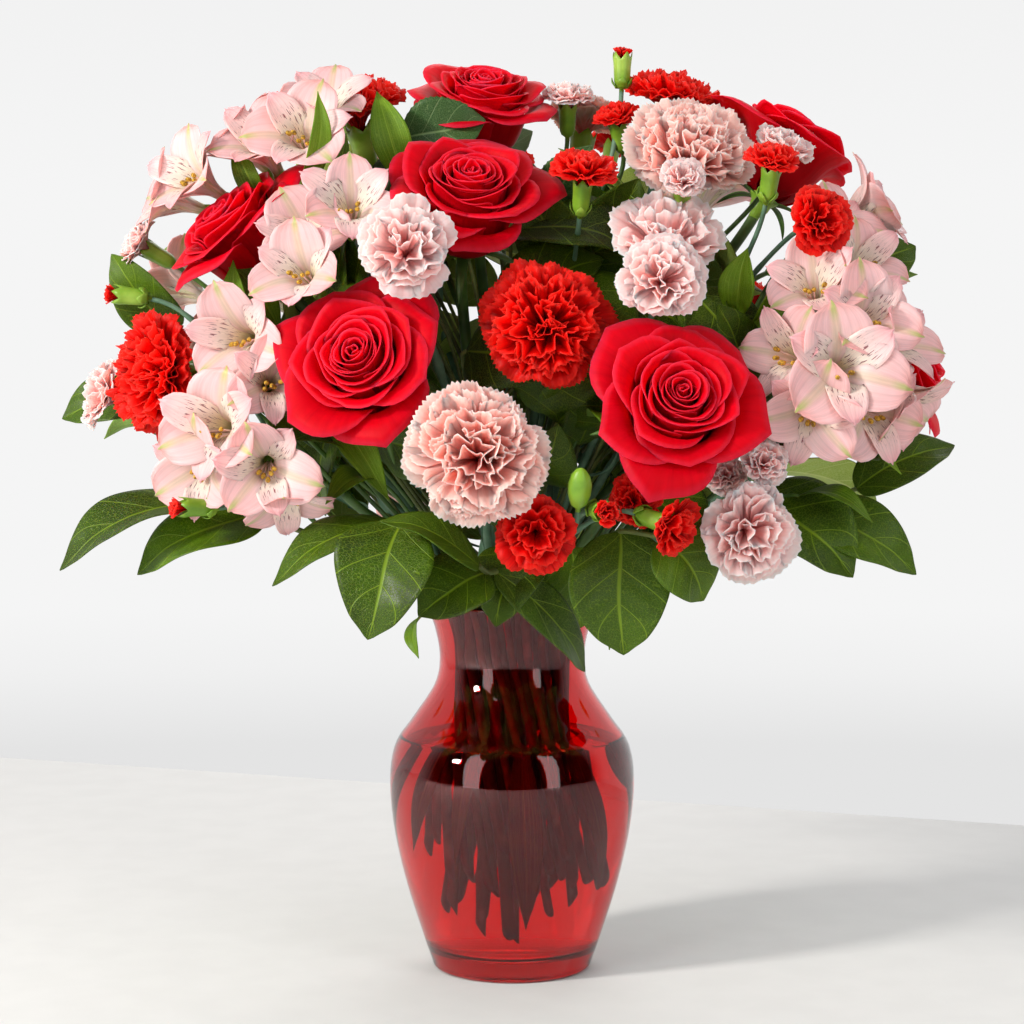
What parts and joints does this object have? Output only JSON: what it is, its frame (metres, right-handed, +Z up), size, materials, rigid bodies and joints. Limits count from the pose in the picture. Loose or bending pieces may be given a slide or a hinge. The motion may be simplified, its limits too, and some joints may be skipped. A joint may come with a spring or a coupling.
{
  "type": "flower bouquet in a vase",
  "caption": "Mixed bouquet of red roses, red and pink carnations, pink alstroemeria and salal leaves, standing in water in a turned ruby glass vase with a flared lip.",
  "frame": {"origin": "centre of the vase's flat foot, on the surface it stands on", "axes": "+Z up, -Y towards the side the bouquet faces, +X to the right seen from that side"},
  "size_m": [0.4784, 0.3287, 0.5001],
  "materials": {
    "ruby_glass": "polished",
    "water": "clear liquid",
    "rose_petals": "velvety",
    "carnation_red": "matt, papery",
    "carnation_pink": "matt, papery",
    "alstroemeria_petals": "satin",
    "stem_green": "satin",
    "leaf_green": "waxy satin"
  },
  "bodies": {
    "root": {"alstroemeria_back_left": "alstroemeria_petals", "alstroemeria_back_right": "alstroemeria_petals", "alstroemeria_low_left": "alstroemeria_petals", "alstroemeria_middle_left": "alstroemeria_petals", "alstroemeria_right": "alstroemeria_petals", "alstroemeria_upper_left": "alstroemeria_petals", "alstroemeria_upper_right": "alstroemeria_petals", "carnation_pink_back_bloom": "carnation_pink", "carnation_pink_back_stem": "stem_green", "carnation_pink_front_bloom": "carnation_pink", "carnation_pink_front_stem": "stem_green", "carnation_pink_top_bloom": "carnation_pink", "carnation_pink_top_stem": "stem_green", "carnation_pink_upper_right_bloom": "carnation_pink", "carnation_pink_upper_right_stem": "stem_green", "carnation_red_back_bloom": "carnation_red", "carnation_red_back_stem": "stem_green", "carnation_red_centre_bloom": "carnation_red", "carnation_red_centre_stem": "stem_green", "carnation_red_left_bloom": "carnation_red", "carnation_red_left_stem": "stem_green", "carnation_red_upper_left_bloom": "carnation_red", "carnation_red_upper_left_stem": "stem_green", "carnation_red_upper_right_bloom": "carnation_red", "carnation_red_upper_right_stem": "stem_green", "rose_back_bloom": "rose_petals", "rose_back_stem": "stem_green", "rose_front_left_bloom": "rose_petals", "rose_front_left_stem": "stem_green", "rose_front_right_bloom": "rose_petals", "rose_front_right_stem": "stem_green", "rose_right_bloom": "rose_petals", "rose_right_stem": "stem_green", "rose_top_bloom": "rose_petals", "rose_top_stem": "stem_green", "rose_upper_centre_bloom": "rose_petals", "rose_upper_centre_stem": "stem_green", "rose_upper_left_bloom": "rose_petals", "rose_upper_left_stem": "stem_green", "rose_upper_right_bloom": "rose_petals", "rose_upper_right_stem": "stem_green", "salal_back_left": "leaf_green", "salal_back_right": "leaf_green", "salal_front_centre": "leaf_green", "salal_front_left": "leaf_green", "salal_front_right": "leaf_green", "salal_low_left": "leaf_green", "salal_right": "leaf_green", "salal_upper_left": "leaf_green", "salal_upper_right": "leaf_green", "spray_pink_left": "carnation_pink", "spray_pink_low_right": "carnation_pink", "spray_pink_upper_left": "carnation_pink", "spray_pink_upper_right": "carnation_pink", "spray_red_front": "carnation_red", "spray_red_left": "carnation_red", "spray_red_right": "carnation_red", "spray_red_top": "carnation_red", "vase": "ruby_glass", "water": "water"}
  },
  "joints": []
}
